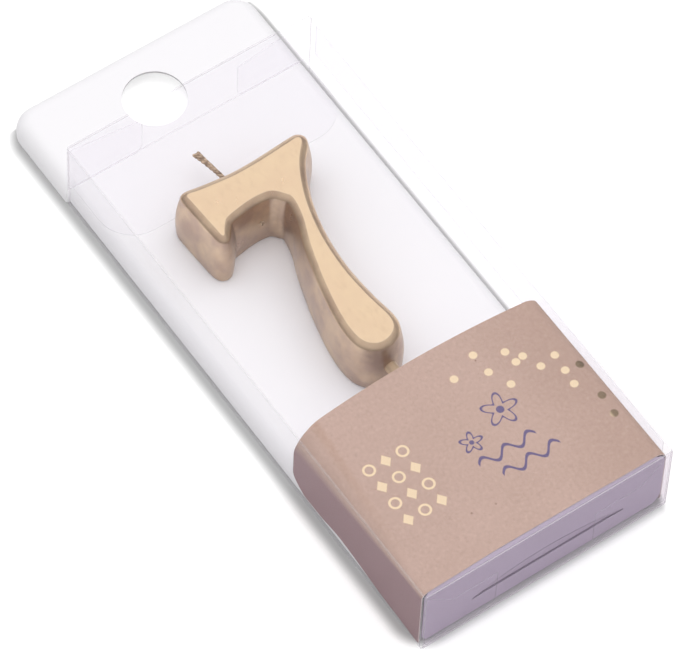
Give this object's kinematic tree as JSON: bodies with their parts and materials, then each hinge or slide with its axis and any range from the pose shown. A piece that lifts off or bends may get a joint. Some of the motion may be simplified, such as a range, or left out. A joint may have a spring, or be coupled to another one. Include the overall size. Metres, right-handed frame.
{
  "type": "number candle",
  "caption": "Gold numeral candle on a pick, held by a card pocket on a white tray with a hang hole, inside a clear folding case.",
  "frame": {"origin": "on the surface that the closed case lies on, under the middle of the bounding box", "axes": "+Y along the case towards the hang tab, +Z out of the front panel, +X to the right as the numeral is read"},
  "size_m": [0.066, 0.1638, 0.0224],
  "materials": {
    "clear_film": "clear PET sheet, 0.3 mm, glossy",
    "white_tray": "white moulded sheet, satin",
    "kraft_card": "brown kraft card, matte, with printed gold and indigo motifs",
    "white_card": "white card, matte",
    "gold_wax": "wax with a metallic gold coat, satin",
    "wick_cotton": "twisted cotton wick, gold tinted",
    "gold_pick": "moulded pick, gold tinted"
  },
  "bodies": {
    "case": {"case_sleeve": "clear_film", "case_glue_flap": "clear_film"},
    "top_lid": {"top_lid_panel": "clear_film", "top_tuck_flap": "clear_film"},
    "top_dust_left": {"top_dust_flap_left": "clear_film"},
    "top_dust_right": {"top_dust_flap_right": "clear_film"},
    "bottom_lid": {"bottom_lid_panel": "clear_film", "bottom_tuck_flap": "clear_film"},
    "bottom_dust_left": {"bottom_dust_flap_left": "clear_film"},
    "bottom_dust_right": {"bottom_dust_flap_right": "clear_film"},
    "tray": {"tray": "white_tray", "kraft_band": "kraft_card", "pocket_mouth_panel": "white_card", "pocket_end_panel": "white_card"},
    "candle": {"candle_wax": "gold_wax", "wick": "wick_cotton", "candle_pick": "gold_pick"}
  },
  "joints": [
    {"name": "tray_slide", "type": "slide", "parent": "case", "child": "tray", "axis": [0, 1, 0], "range_m": [0, 0.02]},
    {"name": "candle_slide", "type": "slide", "parent": "tray", "child": "candle", "axis": [0, 1, 0], "range_m": [0, 0.009]},
    {"name": "top_lid_hinge", "type": "hinge", "parent": "case", "child": "top_lid", "pos_m": [0, 0.0565, 0.0224], "axis": [1, 0, 0], "range_deg": [0, 150], "deforming": ["top_tuck_flap"]},
    {"name": "top_dust_left_hinge", "type": "hinge", "parent": "case", "child": "top_dust_left", "pos_m": [-0.033, 0.0564, 0.0138], "axis": [0, 0, 1], "range_deg": [0, 30]},
    {"name": "top_dust_right_hinge", "type": "hinge", "parent": "case", "child": "top_dust_right", "pos_m": [0.033, 0.0564, 0.0138], "axis": [0, 0, 1], "range_deg": [-30, 0]},
    {"name": "bottom_lid_hinge", "type": "hinge", "parent": "case", "child": "bottom_lid", "pos_m": [0, -0.0815, 0.0224], "axis": [-1, 0, 0], "range_deg": [0, 120], "deforming": ["bottom_tuck_flap"]},
    {"name": "bottom_dust_left_hinge", "type": "hinge", "parent": "case", "child": "bottom_dust_left", "pos_m": [-0.033, -0.0814, 0.0112], "axis": [0, 0, 1], "range_deg": [-24, 0]},
    {"name": "bottom_dust_right_hinge", "type": "hinge", "parent": "case", "child": "bottom_dust_right", "pos_m": [0.033, -0.0814, 0.0112], "axis": [0, 0, 1], "range_deg": [0, 24]}
  ],
  "couplings": [
    {"joint": "top_lid_hinge", "follows": "tray_slide", "rad_per_m": 130.89},
    {"joint": "top_dust_left_hinge", "follows": "tray_slide", "rad_per_m": 26.17},
    {"joint": "top_dust_right_hinge", "follows": "tray_slide", "rad_per_m": -26.17},
    {"joint": "bottom_dust_left_hinge", "follows": "bottom_lid_hinge", "ratio": -0.2},
    {"joint": "bottom_dust_right_hinge", "follows": "bottom_lid_hinge", "ratio": 0.2}
  ]
}
